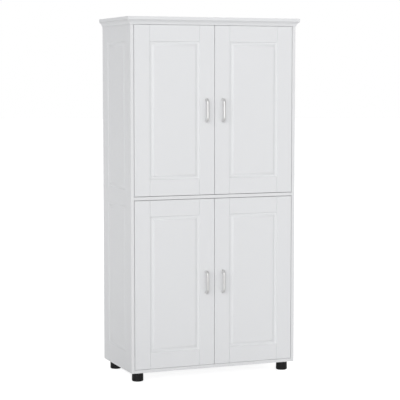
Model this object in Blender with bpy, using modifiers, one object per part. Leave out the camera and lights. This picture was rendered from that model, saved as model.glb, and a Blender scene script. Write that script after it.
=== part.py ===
"""A four-door pantry cabinet, 1.63 m tall, standing on four round feet.

The carcass is white board: two side panels, a bottom panel and a fixed middle shelf, under a top
board that overhangs a cove moulding. Four inset doors of equal size close flush with the front.
Each door hangs on two concealed cup hinges. Each compartment has one shelf on pins.

Metres, +Z up, the front faces -Y, and the origin is on the floor under the middle of the object.
"""

import math

import bmesh
import bpy
from mathutils import Matrix, Vector

# Driving dimensions
CARCASS_WIDTH = 0.800
CARCASS_DEPTH = 0.395
PANEL = 0.015
DOOR_HEIGHT = 0.759
REVEAL = 0.002
END_REVEAL = 0.001
CENTRE_GAP = 0.002
OVERHANG = 0.016
COVE_HEIGHT = 0.0195
COVE_HOLLOW = 0.0020
FOOT_HEIGHT = 0.042
FOOT_DIAMETER = 0.053
FOOT_INSET = 0.043
FIT = 0.0003

# The back is thin hardboard in a rebate in the side panels
BACK_THICKNESS = 0.003
REBATE_WIDTH = 0.008
BACK_SPLIT = 0.001

# Levels, from the floor up. The doors stand closer to the bottom panel and the cove than to the
# middle shelf.
BASE = FOOT_HEIGHT
LOWER_DOOR_Z = BASE + PANEL + END_REVEAL
MIDDLE_SHELF_Z = LOWER_DOOR_Z + DOOR_HEIGHT + REVEAL
UPPER_DOOR_Z = MIDDLE_SHELF_Z + PANEL + REVEAL
COVE_Z = UPPER_DOOR_Z + DOOR_HEIGHT + END_REVEAL
TOP_BOARD_Z = COVE_Z + COVE_HEIGHT
DOOR_LEVELS = {"lower": LOWER_DOOR_Z + DOOR_HEIGHT / 2, "upper": UPPER_DOOR_Z + DOOR_HEIGHT / 2}

# Handles reach furthest forward, so they set where the front plane lies about the origin
HANDLE_REACH = 0.025
HANDLE_LENGTH = 0.108
HANDLE_WIDTH = 0.012
HANDLE_BAR_DEPTH = 0.008
HANDLE_BEND_RADIUS = 0.022
HANDLE_EDGE_INSET = 0.039
FRONT = (HANDLE_REACH - CARCASS_DEPTH) / 2
BACK = FRONT + CARCASS_DEPTH
INNER_X = CARCASS_WIDTH / 2 - PANEL

# Routed groove round each raised field: offset in from its outer edge, and depth. The side panels'
# grooves are as wide as the doors' but shallower.
GROOVE_PROFILE = ((0.0, 0.0), (0.0015, 0.0026), (0.0052, 0.0044), (0.0160, 0.0006), (0.0174, 0.0))
SIDE_GROOVE_DEPTH = 0.45
GROOVE_LIFT = 0.002
FRAME_WIDTH = 0.072
SIDE_STILE = 0.075
SIDE_MIDDLE_RAIL = 0.070

# Shelves and their pins
SHELF_SETBACK = 0.032
SHELF_END_GAP = 0.0022
SHELF_BACK_GAP = 0.006
PIN_SHANK_RADIUS = 0.0025
PIN_HOLE_RADIUS = 0.0028
PIN_HOLE_DEPTH = 0.010
PIN_SHANK_LENGTH = 0.009
PIN_COLLAR_RADIUS = 0.004
PIN_COLLAR_LENGTH = 0.0015
PIN_PEG_RADIUS = 0.003
PIN_PEG_LENGTH = 0.008
PIN_SPACING = 0.032
PIN_STEPS = (-2, -1, 0, 1, 2)
PIN_PLACES = {"front": FRONT + 0.070, "rear": BACK - 0.060}

# Cup hinges. Places in the hinge plane are measured from the closed door's front outer corner:
# x inward along the door, y back from its front face. The pole is the line the door turns on.
DOOR_WIDTH = INNER_X - REVEAL - CENTRE_GAP / 2
HINGE_FROM_DOOR_END = 0.100
POLE = Vector((0.0100, 0.0055, 0.0))
ARM_PIVOT = Vector((0.0238, 0.0171, 0.0))
CUP_PIN = Vector((0.0100, 0.0100, 0.0))
CUP_CENTRE_X = 0.0225
CUP_RADIUS = 0.0175
CUP_WALL = 0.0008
CUP_FLOOR_Y = 0.0038
CUP_FLANGE = 0.0010
CUP_FLANGE_RADIUS = 0.0190
CUP_PIN_RADIUS = 0.0010
WING_CENTRE_X = 0.0280
WING_HALF_WIDTH = 0.007
WING_HALF_LENGTH = 0.031
LINK_HALF_WIDTH = 0.0045
LINK_THICKNESS = 0.0018
LINK_EYE_RADIUS = 0.0032
LINK_HOLE_RADIUS = 0.0016
ARM_PIN_RADIUS = 0.0013
ARM_EYE_RADIUS = 0.0035
ARM_HALF_WIDTH = 0.007
FORK_SLOT_RADIUS = 0.0042
FORK_SLOT_HALF_WIDTH = 0.005
PLATE_THICKNESS = 0.003

FINISHES = {
    "white_paint": ((0.80, 0.80, 0.79), 0.42, 0.0),
    "white_melamine": ((0.78, 0.78, 0.77), 0.50, 0.0),
    "white_hardboard": ((0.74, 0.74, 0.72), 0.65, 0.0),
    "satin_nickel": ((0.62, 0.61, 0.59), 0.30, 1.0),
    "hinge_steel": ((0.55, 0.55, 0.54), 0.28, 1.0),
    "black_plastic": ((0.02, 0.02, 0.02), 0.45, 0.0),
}

SIDES = {"left": -1, "right": 1}


# Scene, materials and small helpers


def clear_scene():
    for obj in list(bpy.data.objects):
        bpy.data.objects.remove(obj, do_unlink=True)


def new_collection(name):
    collection = bpy.data.collections.new(name)
    bpy.context.scene.collection.children.link(collection)
    return collection


def make_material(name, colour, roughness, metallic):
    material = bpy.data.materials.new(name)
    material.use_nodes = True
    shader = material.node_tree.nodes["Principled BSDF"]
    shader.inputs["Base Color"].default_value = (*colour, 1.0)
    shader.inputs["Roughness"].default_value = roughness
    shader.inputs["Metallic"].default_value = metallic
    material.diffuse_color = (*colour, 1.0)
    return material


def add_object(name, mesh, collection):
    obj = bpy.data.objects.new(name, mesh)
    collection.objects.link(obj)
    return obj


def add_part(name, mesh, finish, round_piece=False):
    """A named part with its own material."""
    mesh.materials.clear()
    mesh.materials.append(materials[finish])
    if round_piece:
        mesh.shade_smooth()
        mesh.set_sharp_from_angle(angle=math.radians(35))
    return add_object(name, mesh, parts)


def mesh_from(bm, name):
    mesh = bpy.data.meshes.new(name)
    bmesh.ops.recalc_face_normals(bm, faces=bm.faces)
    bm.to_mesh(mesh)
    bm.free()
    return mesh


def block_mesh(name, low, high):
    """A rectangular block between its lowest and highest corners."""
    low, high = Vector(low), Vector(high)
    bm = bmesh.new()
    place = Matrix.Translation((low + high) / 2) @ Matrix.Diagonal((*(high - low), 1.0))
    bmesh.ops.create_cube(bm, size=1.0, matrix=place)
    return mesh_from(bm, name)


def add_rod(bm, start, end, radius, segments):
    """A closed cylinder from start to end, added to a bmesh."""
    start, end = Vector(start), Vector(end)
    along = end - start
    turn = along.to_track_quat("Z", "Y").to_matrix().to_4x4()
    bmesh.ops.create_cone(
        bm,
        cap_ends=True,
        segments=segments,
        radius1=radius,
        radius2=radius,
        depth=along.length,
        matrix=Matrix.Translation((start + end) / 2) @ turn,
    )


def rod_mesh(name, start, end, radius, segments=24):
    bm = bmesh.new()
    add_rod(bm, start, end, radius, segments)
    return mesh_from(bm, name)


def evaluated_mesh(obj, name):
    """The object's mesh with its modifiers applied."""
    bpy.context.view_layer.update()
    graph = bpy.context.evaluated_depsgraph_get()
    mesh = bpy.data.meshes.new_from_object(obj.evaluated_get(graph))
    mesh.name = name
    return mesh


def outline_mesh(name, points, half_thickness):
    """A flat outline in the XY plane, extruded half_thickness each way along Z."""
    curve = bpy.data.curves.new(name, "CURVE")
    curve.dimensions = "2D"
    curve.fill_mode = "BOTH"
    curve.extrude = half_thickness
    spline = curve.splines.new("POLY")
    spline.points.add(len(points) - 1)
    for point, (x, y) in zip(spline.points, points):
        point.co = (x, y, 0.0, 1.0)
    spline.use_cyclic_u = True
    guide = add_object(name, curve, cutters)
    mesh = evaluated_mesh(guide, name)
    bpy.data.objects.remove(guide)
    bpy.data.curves.remove(curve)
    bm = bmesh.new()
    bm.from_mesh(mesh)
    bmesh.ops.remove_doubles(bm, verts=bm.verts, dist=0.00001)
    bpy.data.meshes.remove(mesh)
    return mesh_from(bm, name)


def arc(centre, radius, start_deg, end_deg, steps):
    """Points on a round stretch of an outline."""
    angles = (math.radians(start_deg + (end_deg - start_deg) * i / steps) for i in range(steps + 1))
    return [(centre[0] + radius * math.cos(a), centre[1] + radius * math.sin(a)) for a in angles]


def shape(target, operation, tool_mesh):
    """Cuts or joins a tool to an object with an exact Boolean. The tool follows the target."""
    tool = add_object(f"{target.name}_{operation.lower()}_{len(target.modifiers)}", tool_mesh, cutters)
    tool.hide_render = True
    tool.display_type = "WIRE"
    tool.parent = target
    modifier = target.modifiers.new(f"{operation.lower()}_{tool_mesh.name}", "BOOLEAN")
    modifier.operation = operation
    modifier.solver = "EXACT"
    modifier.object = tool


def shaped_mesh(name, start_mesh, steps):
    """The mesh left when (operation, tool) steps are applied in turn, for pieces made more than once."""
    work = add_object(name, start_mesh, cutters)
    for operation, tool_mesh in steps:
        shape(work, operation, tool_mesh)
    mesh = evaluated_mesh(work, name)
    for tool in list(work.children):
        bpy.data.objects.remove(tool)
    bpy.data.objects.remove(work)
    return mesh


def groove_ring_mesh(name, centre, half_width, half_height, across, outward, depth_scale=1.0):
    """A cutter for a routed groove round a raised field.

    It is a closed ring of rectangles, one for each point of the groove's profile. `across` is the
    panel's width direction, `outward` points out of its face, and its height is along Z.
    """
    rings = [(0.0, -GROOVE_LIFT)]
    rings += [(offset, depth * depth_scale) for offset, depth in GROOVE_PROFILE]
    rings.append((GROOVE_PROFILE[-1][0], -GROOVE_LIFT))
    corners = ((-1, -1), (1, -1), (1, 1), (-1, 1))
    bm = bmesh.new()
    loops = []
    for offset, depth in rings:
        loop = []
        for side, end in corners:
            place = Vector(centre) - Vector(outward) * depth
            place += Vector(across) * side * (half_width - offset)
            place += Vector((0, 0, end * (half_height - offset)))
            loop.append(bm.verts.new(place))
        loops.append(loop)
    for i, loop in enumerate(loops):
        following = loops[(i + 1) % len(loops)]
        for j in range(4):
            k = (j + 1) % 4
            bm.faces.new((loop[j], loop[k], following[k], following[j]))
    return mesh_from(bm, name)


# Carcass


def pin_hole_heights():
    """Heights of the pin holes' centres, as (level, step, z)."""
    heights = []
    for level, middle in DOOR_LEVELS.items():
        heights += [(level, step, middle + step * PIN_SPACING) for step in PIN_STEPS]
    return heights


def make_side_panel(name, side):
    inner, outer = side * INNER_X, side * CARCASS_WIDTH / 2
    low = (min(inner, outer), FRONT, BASE)
    high = (max(inner, outer), BACK, TOP_BOARD_Z - FIT)
    panel = add_part(name, block_mesh(name, low, high), "white_paint")

    rebate_x = inner + side * REBATE_WIDTH
    clear = 0.01
    rebate_low = (min(inner - side * clear, rebate_x), BACK - BACK_THICKNESS - FIT, BASE - clear)
    rebate_high = (max(inner - side * clear, rebate_x), BACK + clear, TOP_BOARD_Z + clear)
    shape(panel, "DIFFERENCE", block_mesh("back_rebate", rebate_low, rebate_high))

    shelf_middle = MIDDLE_SHELF_Z + PANEL / 2
    fields = (
        (LOWER_DOOR_Z + FRAME_WIDTH, shelf_middle - SIDE_MIDDLE_RAIL / 2),
        (shelf_middle + SIDE_MIDDLE_RAIL / 2, UPPER_DOOR_Z + DOOR_HEIGHT - FRAME_WIDTH),
    )
    for bottom, top in fields:
        centre = (outer, (FRONT + BACK) / 2, (bottom + top) / 2)
        half_width = CARCASS_DEPTH / 2 - SIDE_STILE
        half_height = (top - bottom) / 2
        ring = groove_ring_mesh(
            "groove", centre, half_width, half_height, (0, 1, 0), (side, 0, 0), SIDE_GROOVE_DEPTH
        )
        shape(panel, "DIFFERENCE", ring)

    holes = bmesh.new()
    for y in PIN_PLACES.values():
        for _, _, z in pin_hole_heights():
            start = (inner - side * clear, y, z)
            end = (inner + side * PIN_HOLE_DEPTH, y, z)
            add_rod(holes, start, end, PIN_HOLE_RADIUS, 8)
    shape(panel, "DIFFERENCE", mesh_from(holes, "pin_holes"))


def make_cross_panels():
    inner = INNER_X - FIT
    back = BACK - BACK_THICKNESS - FIT
    for name, z in (("bottom_panel", BASE), ("middle_shelf", MIDDLE_SHELF_Z)):
        mesh = block_mesh(name, (-inner, FRONT, z), (inner, back, z + PANEL))
        add_part(name, mesh, "white_paint")
    rail = block_mesh("top_rail", (-inner, FRONT, COVE_Z), (inner, FRONT + PANEL, TOP_BOARD_Z - FIT))
    add_part("top_rail", rail, "white_paint")
    reach = CARCASS_WIDTH / 2 + OVERHANG
    top_low = (-reach, FRONT - OVERHANG, TOP_BOARD_Z)
    top = block_mesh("top_board", top_low, (reach, BACK, TOP_BOARD_Z + PANEL))
    add_part("top_board", top, "white_paint")


def make_back_panels():
    reach = INNER_X + REBATE_WIDTH - FIT
    seam = MIDDLE_SHELF_Z + PANEL / 2
    spans = {
        "back_panel_lower": (BASE + BACK_SPLIT, seam - BACK_SPLIT / 2),
        "back_panel_upper": (seam + BACK_SPLIT / 2, TOP_BOARD_Z - FIT),
    }
    for name, (bottom, top) in spans.items():
        mesh = block_mesh(name, (-reach, BACK - BACK_THICKNESS, bottom), (reach, BACK, top))
        add_part(name, mesh, "white_hardboard")


def cove_profile():
    """The moulding's section, as (distance out from the carcass, height): a shallow hollow slope."""
    lip, reach = 0.0025, OVERHANG - 0.0015
    height = COVE_HEIGHT - FIT
    slope = Vector((reach - lip, height))
    inward = Vector((-slope.y, slope.x)).normalized()
    steps = 6
    hollow = []
    for i in range(steps + 1):
        share = i / steps
        point = Vector((lip, 0.0)) + slope * share + inward * COVE_HOLLOW * math.sin(math.pi * share)
        hollow.append((point.x, point.y))
    return [(FIT, 0.0), *hollow, (FIT, height)]


def cut_mitre(bm, place, normal):
    """Keeps the side of the plane that its normal points away from, and closes the cut."""
    everything = bm.verts[:] + bm.edges[:] + bm.faces[:]
    bmesh.ops.bisect_plane(bm, geom=everything, plane_co=place, plane_no=normal, clear_outer=True)
    open_edges = [edge for edge in bm.edges if edge.is_boundary]
    bmesh.ops.holes_fill(bm, edges=open_edges)


def make_cove(name, start, direction, outward, length, mitres):
    """A cove moulding from start along direction, cut at the (place, normal) mitres."""
    frame = Matrix((Vector(outward), Vector((0, 0, 1)), Vector(direction))).transposed().to_4x4()
    frame.translation = Vector(start)
    bar = outline_mesh(name, cove_profile(), length / 2)
    bm = bmesh.new()
    bm.from_mesh(bar)
    bpy.data.meshes.remove(bar)
    bmesh.ops.transform(bm, matrix=frame @ Matrix.Translation((0, 0, length / 2)), verts=bm.verts)
    for place, normal in mitres:
        cut_mitre(bm, place, normal)
    add_part(name, mesh_from(bm, name), "white_paint")


def make_coves():
    half, spare = CARCASS_WIDTH / 2, 0.03
    corners = {side: Vector((sign * half, FRONT, COVE_Z)) for side, sign in SIDES.items()}
    gap = FIT / 2
    front_mitres = []
    for side, sign in SIDES.items():
        normal = Vector((sign, 1, 0)).normalized()
        front_mitres.append((corners[side] - normal * gap, normal))
    start = (-half - spare, FRONT, COVE_Z)
    make_cove("cove_front", start, (1, 0, 0), (0, -1, 0), CARCASS_WIDTH + 2 * spare, front_mitres)
    for side, sign in SIDES.items():
        normal = Vector((-sign, -1, 0)).normalized()
        mitre = (corners[side] - normal * gap, normal)
        start = (sign * half, FRONT - spare, COVE_Z)
        make_cove(f"cove_{side}", start, (0, 1, 0), (sign, 0, 0), CARCASS_DEPTH + spare, [mitre])


def foot_mesh():
    """A turned foot: a straight wall and a rounded tread."""
    radius, tread, height = FOOT_DIAMETER / 2, 0.005, FOOT_HEIGHT - FIT
    profile = [(0.0, height), (radius, height)]
    profile += [(radius - tread + x, z) for x, z in arc((0, tread), tread, 0, -90, 4)]
    profile.append((0.0, 0.0))
    bm = bmesh.new()
    points = [bm.verts.new((x, 0.0, z)) for x, z in profile]
    for first, second in zip(points, points[1:]):
        bm.edges.new((first, second))
    mesh = bpy.data.meshes.new("foot_profile")
    bm.to_mesh(mesh)
    bm.free()
    turned = add_object("foot_profile", mesh, cutters)
    screw = turned.modifiers.new("turn", "SCREW")
    screw.steps = 28
    screw.render_steps = 28
    screw.use_merge_vertices = True
    screw.merge_threshold = 0.00005
    result = evaluated_mesh(turned, "foot")
    bpy.data.objects.remove(turned)
    return result


def make_feet():
    mesh = foot_mesh()
    rows = {"front": FRONT + FOOT_INSET, "rear": BACK - FOOT_INSET}
    for row, y in rows.items():
        for side, sign in SIDES.items():
            foot = add_part(f"foot_{row}_{side}", mesh, "black_plastic", round_piece=True)
            foot.location = (sign * (CARCASS_WIDTH / 2 - FOOT_INSET), y, 0)


# Loose shelves and their pins


def make_shelves():
    half = INNER_X - SHELF_END_GAP
    back = BACK - BACK_THICKNESS - SHELF_BACK_GAP
    for level, middle in DOOR_LEVELS.items():
        bottom = middle + PIN_PEG_RADIUS + FIT
        low = (-half, FRONT + SHELF_SETBACK, bottom)
        mesh = block_mesh(f"shelf_{level}", low, (half, back, bottom + PANEL))
        add_part(f"shelf_{level}", mesh, "white_melamine")


def pin_mesh():
    """A shelf pin along +X: shank into the panel, collar against it, and the peg under the shelf."""
    collar_start = FIT
    collar_end = collar_start + PIN_COLLAR_LENGTH
    overlap = 0.0005
    shank = rod_mesh("pin", (-PIN_SHANK_LENGTH, 0, 0), (collar_start + overlap, 0, 0), PIN_SHANK_RADIUS, 10)
    collar = rod_mesh("collar", (collar_start, 0, 0), (collar_end, 0, 0), PIN_COLLAR_RADIUS, 12)
    peg = rod_mesh("peg", (collar_end - overlap, 0, 0), (collar_end + PIN_PEG_LENGTH, 0, 0), PIN_PEG_RADIUS, 12)
    return shaped_mesh("shelf_pin", shank, (("UNION", collar), ("UNION", peg)))


def make_shelf_pins():
    mesh = pin_mesh()
    for level, z in DOOR_LEVELS.items():
        for side, sign in SIDES.items():
            for place, y in PIN_PLACES.items():
                pin = add_part(f"shelf_pin_{level}_{side}_{place}", mesh, "hinge_steel", round_piece=True)
                pin.location = (sign * INNER_X, y, z)
                pin.rotation_euler = (0, math.pi if sign > 0 else 0, 0)


# Doors and handles, built about the line each door turns on


def door_mesh():
    """A left-hand door with its routed front and two cup bores. Turned over, it is a right-hand one."""
    half_height = DOOR_HEIGHT / 2
    low = Vector((0, 0, -half_height)) - POLE
    high = Vector((DOOR_WIDTH, PANEL, half_height)) - POLE
    field_half_width = DOOR_WIDTH / 2 - FRAME_WIDTH
    centre = Vector((DOOR_WIDTH / 2, 0, 0)) - POLE
    ring = groove_ring_mesh(
        "groove", centre, field_half_width, half_height - FRAME_WIDTH, (1, 0, 0), (0, -1, 0)
    )
    steps = [("DIFFERENCE", ring)]
    for z in hinge_offsets().values():
        start = Vector((CUP_CENTRE_X, CUP_FLOOR_Y - FIT, z)) - POLE
        end = Vector((CUP_CENTRE_X, PANEL + 0.01, z)) - POLE
        steps.append(("DIFFERENCE", rod_mesh("cup_bore", start, end, CUP_RADIUS + FIT, 32)))
    return shaped_mesh("door", block_mesh("door", low, high), steps)


def handle_mesh():
    """A bow handle of rectangular section with wide round bends, its feet at y = 0, reaching towards -Y."""
    half = HANDLE_LENGTH / 2
    depth = HANDLE_REACH - FIT
    inner_radius = HANDLE_BEND_RADIUS - HANDLE_BAR_DEPTH
    bend_centre = (half - HANDLE_BEND_RADIUS, HANDLE_BEND_RADIUS - depth)
    outer = [(half, 0.0), *arc(bend_centre, HANDLE_BEND_RADIUS, 0, -90, 8)]
    inner = [(half - HANDLE_BAR_DEPTH, 0.0), *arc(bend_centre, inner_radius, 0, -90, 8)]
    mirrored_outer = [(-x, y) for x, y in reversed(outer)]
    mirrored_inner = [(-x, y) for x, y in inner]
    outline = outer + mirrored_outer + mirrored_inner + inner[::-1]
    flat = outline_mesh("handle", outline, HANDLE_WIDTH / 2)
    upright = Matrix.Rotation(math.radians(-90), 4, "Y")
    flat.transform(upright)
    return flat


def pole_place(side, z):
    """Where the left or right doors' turning line stands at the front of the cabinet."""
    x = SIDES[side] * (INNER_X - REVEAL - POLE.x)
    return Vector((x, FRONT + POLE.y, z))


def turned_for(side):
    """Right-hand pieces are left-hand ones turned over about the front-to-back axis."""
    return (0, math.pi if side == "right" else 0, 0)


def make_doors():
    panel_mesh = door_mesh()
    pull_mesh = handle_mesh()
    cup = cup_mesh()
    pull_place = Vector((DOOR_WIDTH - HANDLE_EDGE_INSET, -FIT, 0)) - POLE
    for level, z in DOOR_LEVELS.items():
        for side in SIDES:
            door = add_part(f"door_{level}_{side}", panel_mesh, "white_paint")
            door.location = pole_place(side, z)
            door.rotation_euler = turned_for(side)
            pull = add_part(f"handle_{level}_{side}", pull_mesh, "satin_nickel", round_piece=True)
            pull.parent = door
            pull.location = pull_place
            for place, offset in hinge_offsets(side).items():
                name = f"hinge_cup_{level}_{side}_{place}"
                hinge_cup = add_part(name, cup, "hinge_steel", round_piece=True)
                hinge_cup.parent = door
                hinge_cup.location = (0, 0, offset)


# Cup hinges


def hinge_offsets(side="left"):
    """Heights of a door's two hinges from its middle, in the door's own frame."""
    reach = DOOR_HEIGHT / 2 - HINGE_FROM_DOOR_END
    up = 1 if side == "left" else -1
    return {"bottom": -up * reach, "top": up * reach}


def cup_mesh():
    """The cup with its flange, screw wings and link pin, about the door's turning line."""
    centre_x = CUP_CENTRE_X

    def cylinder(name, y_start, y_end, radius):
        start = Vector((centre_x, y_start, 0)) - POLE
        end = Vector((centre_x, y_end, 0)) - POLE
        return rod_mesh(name, start, end, radius, 32)

    flange_y = PANEL + FIT
    flange_top = flange_y + CUP_FLANGE
    wing_low = Vector((WING_CENTRE_X - WING_HALF_WIDTH, flange_y, -WING_HALF_LENGTH)) - POLE
    wing_high = Vector((WING_CENTRE_X + WING_HALF_WIDTH, flange_top, WING_HALF_LENGTH)) - POLE
    inner_radius = CUP_RADIUS - CUP_WALL
    pin_half = math.sqrt(inner_radius**2 - (centre_x - CUP_PIN.x) ** 2) + CUP_WALL / 2
    pin_ends = [CUP_PIN - POLE + Vector((0, 0, sign * pin_half)) for sign in (-1, 1)]
    steps = (
        ("UNION", cylinder("flange", flange_y, flange_top, CUP_FLANGE_RADIUS)),
        ("UNION", block_mesh("wings", wing_low, wing_high)),
        ("DIFFERENCE", cylinder("hollow", CUP_FLOOR_Y + CUP_WALL, flange_top + 0.01, inner_radius)),
        ("UNION", rod_mesh("pin", *pin_ends, CUP_PIN_RADIUS, 10)),
    )
    return shaped_mesh("hinge_cup", cylinder("cup", CUP_FLOOR_Y, flange_top - 0.0002, CUP_RADIUS), steps)


def link_mesh():
    """The gooseneck link about its pivot, with the door closed.

    The neck's points are given along the line from the pivot to the cup's pin, and off that line
    towards the cup's floor. Its nose passes round the far side of the pin without holding it.
    """
    neck = ((0.0, 0.0), (0.0035, 0.0043), (0.0085, 0.0062), (0.0134, 0.0052), (0.0171, 0.0020))
    along = (CUP_PIN - ARM_PIVOT).normalized()
    off = Vector((-along.y, along.x, 0))
    curve = bpy.data.curves.new("link_neck", "CURVE")
    curve.dimensions = "2D"
    curve.fill_mode = "NONE"
    curve.extrude = LINK_HALF_WIDTH
    curve.resolution_u = 4
    spline = curve.splines.new("BEZIER")
    spline.bezier_points.add(len(neck) - 1)
    for point, (forward, sideways) in zip(spline.bezier_points, neck):
        point.co = along * forward + off * sideways
        point.handle_left_type = "AUTO"
        point.handle_right_type = "AUTO"
    guide = add_object("link_neck", curve, cutters)
    strip = add_object("link_strip", evaluated_mesh(guide, "link_strip"), cutters)
    bpy.data.objects.remove(guide)
    solidify = strip.modifiers.new("thickness", "SOLIDIFY")
    solidify.thickness = LINK_THICKNESS
    solidify.offset = 0
    neck_mesh = evaluated_mesh(strip, "link_neck")
    bpy.data.objects.remove(strip)

    eye_ends = [Vector((0, 0, sign * LINK_HALF_WIDTH)) for sign in (-1, 1)]
    eye = rod_mesh("eye", *eye_ends, LINK_EYE_RADIUS, 20)
    hole_ends = [end * 1.5 for end in eye_ends]
    hole = rod_mesh("hole", *hole_ends, LINK_HOLE_RADIUS, 16)
    return shaped_mesh("hinge_link", neck_mesh, (("UNION", eye), ("DIFFERENCE", hole)))


def arm_mesh():
    """The fixed arm and its mounting plate, about the arm's pivot pin."""
    top, back = 0.0105, 0.084
    outline = [(0.0008, back), (0.0008, 0.034), (0.008, 0.029), (0.0165, 0.0245), (0.0200, 0.0205)]
    outline += arc(ARM_PIVOT, ARM_EYE_RADIUS, 180, 360, 8)
    outline += [(0.0262, 0.0265), (0.0190, 0.0345), (top, 0.044), (top, 0.080), (0.0085, back)]
    outline = [(x - ARM_PIVOT.x, y - ARM_PIVOT.y) for x, y in outline]
    body = outline_mesh("hinge_arm", outline, ARM_HALF_WIDTH)

    plate_x = -REVEAL + FIT
    foot = block_mesh(
        "plate",
        Vector((plate_x, 0.040, -0.008)) - ARM_PIVOT,
        Vector((plate_x + PLATE_THICKNESS, 0.080, 0.008)) - ARM_PIVOT,
    )
    wings = block_mesh(
        "wings",
        Vector((plate_x, 0.046, -0.024)) - ARM_PIVOT,
        Vector((plate_x + 0.002, 0.058, 0.024)) - ARM_PIVOT,
    )
    slot_ends = [Vector((0, 0, sign * FORK_SLOT_HALF_WIDTH)) for sign in (-1, 1)]
    pin_ends = [Vector((0, 0, sign * (ARM_HALF_WIDTH - 0.001))) for sign in (-1, 1)]
    steps = (
        ("UNION", foot),
        ("UNION", wings),
        ("DIFFERENCE", rod_mesh("fork_slot", *slot_ends, FORK_SLOT_RADIUS, 20)),
        ("UNION", rod_mesh("pivot_pin", *pin_ends, ARM_PIN_RADIUS, 12)),
    )
    return shaped_mesh("hinge_arm", body, steps)


def make_hinge_arms_and_links():
    arm = arm_mesh()
    link = link_mesh()
    pivot_from_pole = ARM_PIVOT - POLE
    for level, middle in DOOR_LEVELS.items():
        for side, sign in SIDES.items():
            for place, offset in hinge_offsets().items():
                location = pole_place(side, middle + offset)
                location += Vector((-sign * pivot_from_pole.x, pivot_from_pole.y, 0))
                for piece, mesh in (("arm", arm), ("link", link)):
                    name = f"hinge_{piece}_{level}_{side}_{place}"
                    obj = add_part(name, mesh, "hinge_steel", round_piece=True)
                    obj.location = location
                    obj.rotation_euler = turned_for(side)


clear_scene()
parts = new_collection("pantry_cabinet")
cutters = new_collection("cutters")
materials = {name: make_material(name, *values) for name, values in FINISHES.items()}

for side_name, side_sign in SIDES.items():
    make_side_panel(f"side_panel_{side_name}", side_sign)
make_cross_panels()
make_back_panels()
make_coves()
make_feet()
make_shelves()
make_shelf_pins()
make_doors()
make_hinge_arms_and_links()
bpy.context.view_layer.update()
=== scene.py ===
"""The looks of the four-door pantry cabinet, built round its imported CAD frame.

Places and sizes are read from the frame's boxes. The constants below are only what a box can't
say: the routed mouldings, eased edges, screws and finishes. Metres, +Z up, the front faces -Y.
"""

import math

import bmesh
import bpy
from mathutils import Matrix, Vector


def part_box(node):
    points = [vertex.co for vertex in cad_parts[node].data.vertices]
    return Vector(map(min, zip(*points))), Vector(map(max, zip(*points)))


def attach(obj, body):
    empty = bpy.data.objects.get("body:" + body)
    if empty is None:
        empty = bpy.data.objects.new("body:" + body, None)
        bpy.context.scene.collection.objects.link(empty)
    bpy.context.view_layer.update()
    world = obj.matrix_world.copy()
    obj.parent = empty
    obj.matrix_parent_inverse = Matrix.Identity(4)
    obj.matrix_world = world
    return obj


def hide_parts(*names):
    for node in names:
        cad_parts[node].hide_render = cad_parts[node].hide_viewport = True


SIDES = {"left": -1, "right": 1}
LEVELS = ("lower", "upper")
ENDS = ("bottom", "top")
ROWS = ("front", "rear")

# The corners of an outline: their sides, and where their quarter circles start
QUADRANTS = ((1, 1, 0), (-1, 1, 90), (-1, -1, 180), (1, -1, 270))

# Routed moulding round each raised field, from its outer edge inwards. OGEE is the bevel's
# share of S-curve, FIELD_STEP the short step up to the field, and MOULDING_DRAFT how far the
# short walls lean. The side panels' mouldings are as wide, but shallower by the last factor.
QUIRK = 0.0004
COVE_WIDTH = 0.0100
COVE_DEPTH = 0.0046
BEVEL_WIDTH = 0.0120
OGEE = 0.75
FIELD_STEP = 0.0003
MOULDING_DRAFT = 0.0002
SIDE_MOULDING_DEPTH = 0.45

# How far cutting tools reach past the faces that they cut, and joint lines into the moulding
GROOVE_LIFT = 0.002
CUTTER_REACH = 0.01
LINE_OVERLAP = 0.0030

# Frames round the fields, and the fine V lines where rails meet stiles
RAIL = 0.072
DOOR_STILE = 0.072
SIDE_STILE = 0.075
SIDE_MIDDLE_RAIL = 0.070
JOINT_LINE_WIDTH = 0.0019
JOINT_LINE_DEPTH = 0.0019

# Eased edges
BOARD_EASE = 0.0010
TOP_EASE = 0.0022
SHELF_EASE = 0.0007
BACK_EASE = 0.0003
CAD_NODE_EASE = 0.0004

# Edges that turn by more degrees than this stay crisp
SMOOTH_DEG = 32
CROWN_SMOOTH_DEG = 24

# Crown moulding under the top board: the flats at its foot and ends, and its hollow's depth
CROWN_LIP = 0.0025
CROWN_FILLET = 0.0012
CROWN_HOLLOW = 0.0020
MITRE_GAP = 0.00015

# Gap between touching pieces
FIT = 0.0003

# Joinery inside
REBATE_WIDTH = 0.008
PIN_HOLE_RADIUS = 0.0028
PIN_HOLE_DEPTH = 0.010
PIN_SPACING = 0.032
PIN_STEPS = (-2, -1, 0, 1, 2)
CAM_COVER_RADIUS = 0.0088
CAM_COVER_HEIGHT = 0.0011
CAM_FROM_END = 0.034
CAM_FROM_EDGE = 0.060

# Shelf pins
PIN_SHANK_RADIUS = 0.0025
PIN_COLLAR_RADIUS = 0.0040
PIN_COLLAR_START = 0.0003
PIN_COLLAR_END = 0.0018
PIN_PEG_RADIUS = 0.0030
PIN_EASE = 0.0005

# Nails round the back
NAIL_RADIUS = 0.0016
NAIL_HEIGHT = 0.0005
NAIL_SEAT = 0.0002
NAIL_SPACING = 0.125
NAIL_FROM_EDGE = 0.0042

# Feet
FOOT_TREAD_RADIUS = 0.0050
FOOT_TAPER = 0.0006
FOOT_RIM_HEIGHT = 0.0045
FOOT_LINE = 0.0003
FOOT_SOLE_LIFT = 0.0006
FOOT_DIMPLE_DEPTH = 0.0022

# Handles
HANDLE_BAR_DEPTH = 0.008
HANDLE_BEND_RADIUS = 0.022
HANDLE_FRONT_EDGE = (0.0045, 0.0058)
HANDLE_BACK_EDGE = (0.0008, 0.0008)

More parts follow.
